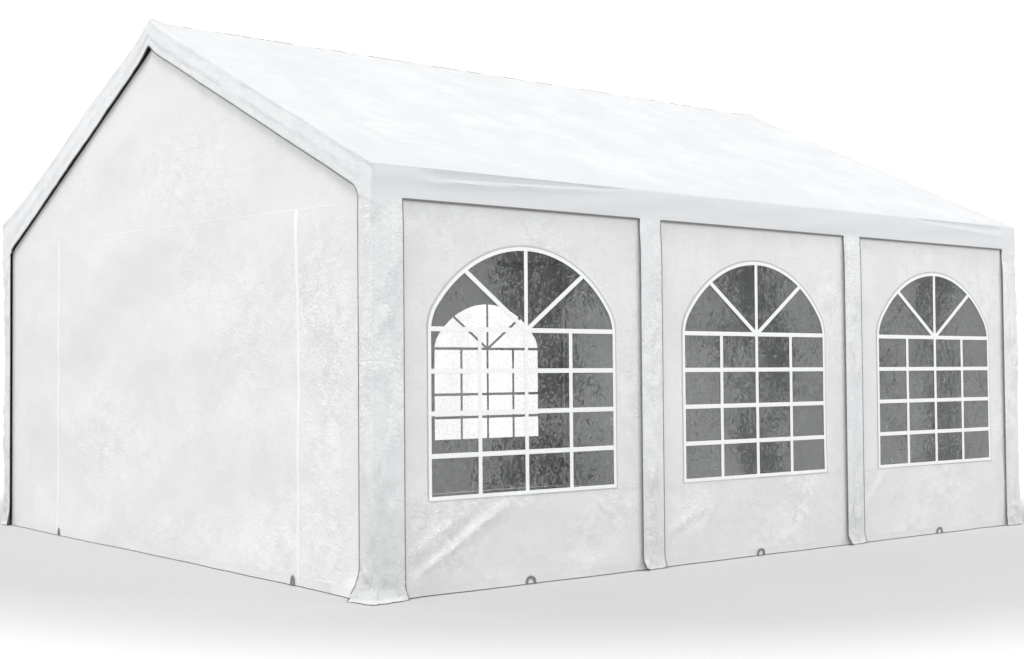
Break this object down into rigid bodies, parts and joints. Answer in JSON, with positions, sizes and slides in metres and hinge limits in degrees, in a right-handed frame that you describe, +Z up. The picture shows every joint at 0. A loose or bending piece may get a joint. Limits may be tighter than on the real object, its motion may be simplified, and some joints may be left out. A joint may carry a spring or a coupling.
{
  "type": "marquee tent",
  "caption": "Ridged marquee tent with a round tube frame, a sheet roof with valance, panel walls with arched barred windows and a zipped door panel in each gable.",
  "frame": {"origin": "middle of the ground plan, on the ground", "axes": "+X along the ridge towards the right gable, +Y across the tent towards the back long side, +Z up"},
  "size_m": [6, 5, 3.465],
  "materials": {
    "cover": "white coated polyethylene sheet, slightly bluish, satin sheen, fine weave",
    "wall": "white coated polyethylene sheet, slightly warm, satin sheen, crinkled",
    "film": "clear flexible film, glossy, lightly rippled",
    "steel": "galvanised steel tube, dull"
  },
  "bodies": {
    "root": {"leg_front_1": "steel", "leg_front_2": "steel", "leg_front_3": "steel", "leg_front_4": "steel", "leg_back_1": "steel", "leg_back_2": "steel", "leg_back_3": "steel", "leg_back_4": "steel", "rafter_front_1": "steel", "rafter_front_2": "steel", "rafter_front_3": "steel", "rafter_front_4": "steel", "rafter_back_1": "steel", "rafter_back_2": "steel", "rafter_back_3": "steel", "rafter_back_4": "steel", "ridge_rail": "steel", "eave_rail_front": "steel", "eave_rail_back": "steel", "roof_front": "cover", "roof_back": "cover", "valance_front": "cover", "valance_back": "cover", "gable_trim_left": "cover", "gable_trim_right": "cover", "leg_cover_front_1": "cover", "leg_cover_front_2": "cover", "leg_cover_back_1": "cover", "leg_cover_back_2": "cover", "corner_cover_front_left": "cover", "corner_cover_front_right": "cover", "corner_cover_back_left": "cover", "corner_cover_back_right": "cover", "side_panel_front_1": "wall", "side_panel_front_2": "wall", "side_panel_front_3": "wall", "side_panel_back_1": "wall", "side_panel_back_2": "wall", "side_panel_back_3": "wall", "gable_wall_left": "wall", "gable_wall_right": "wall", "door_left": "wall", "door_right": "wall", "window_front_1": "film", "window_front_2": "film", "window_front_3": "film", "window_back_1": "film", "window_back_2": "film", "window_back_3": "film"}
  },
  "joints": []
}
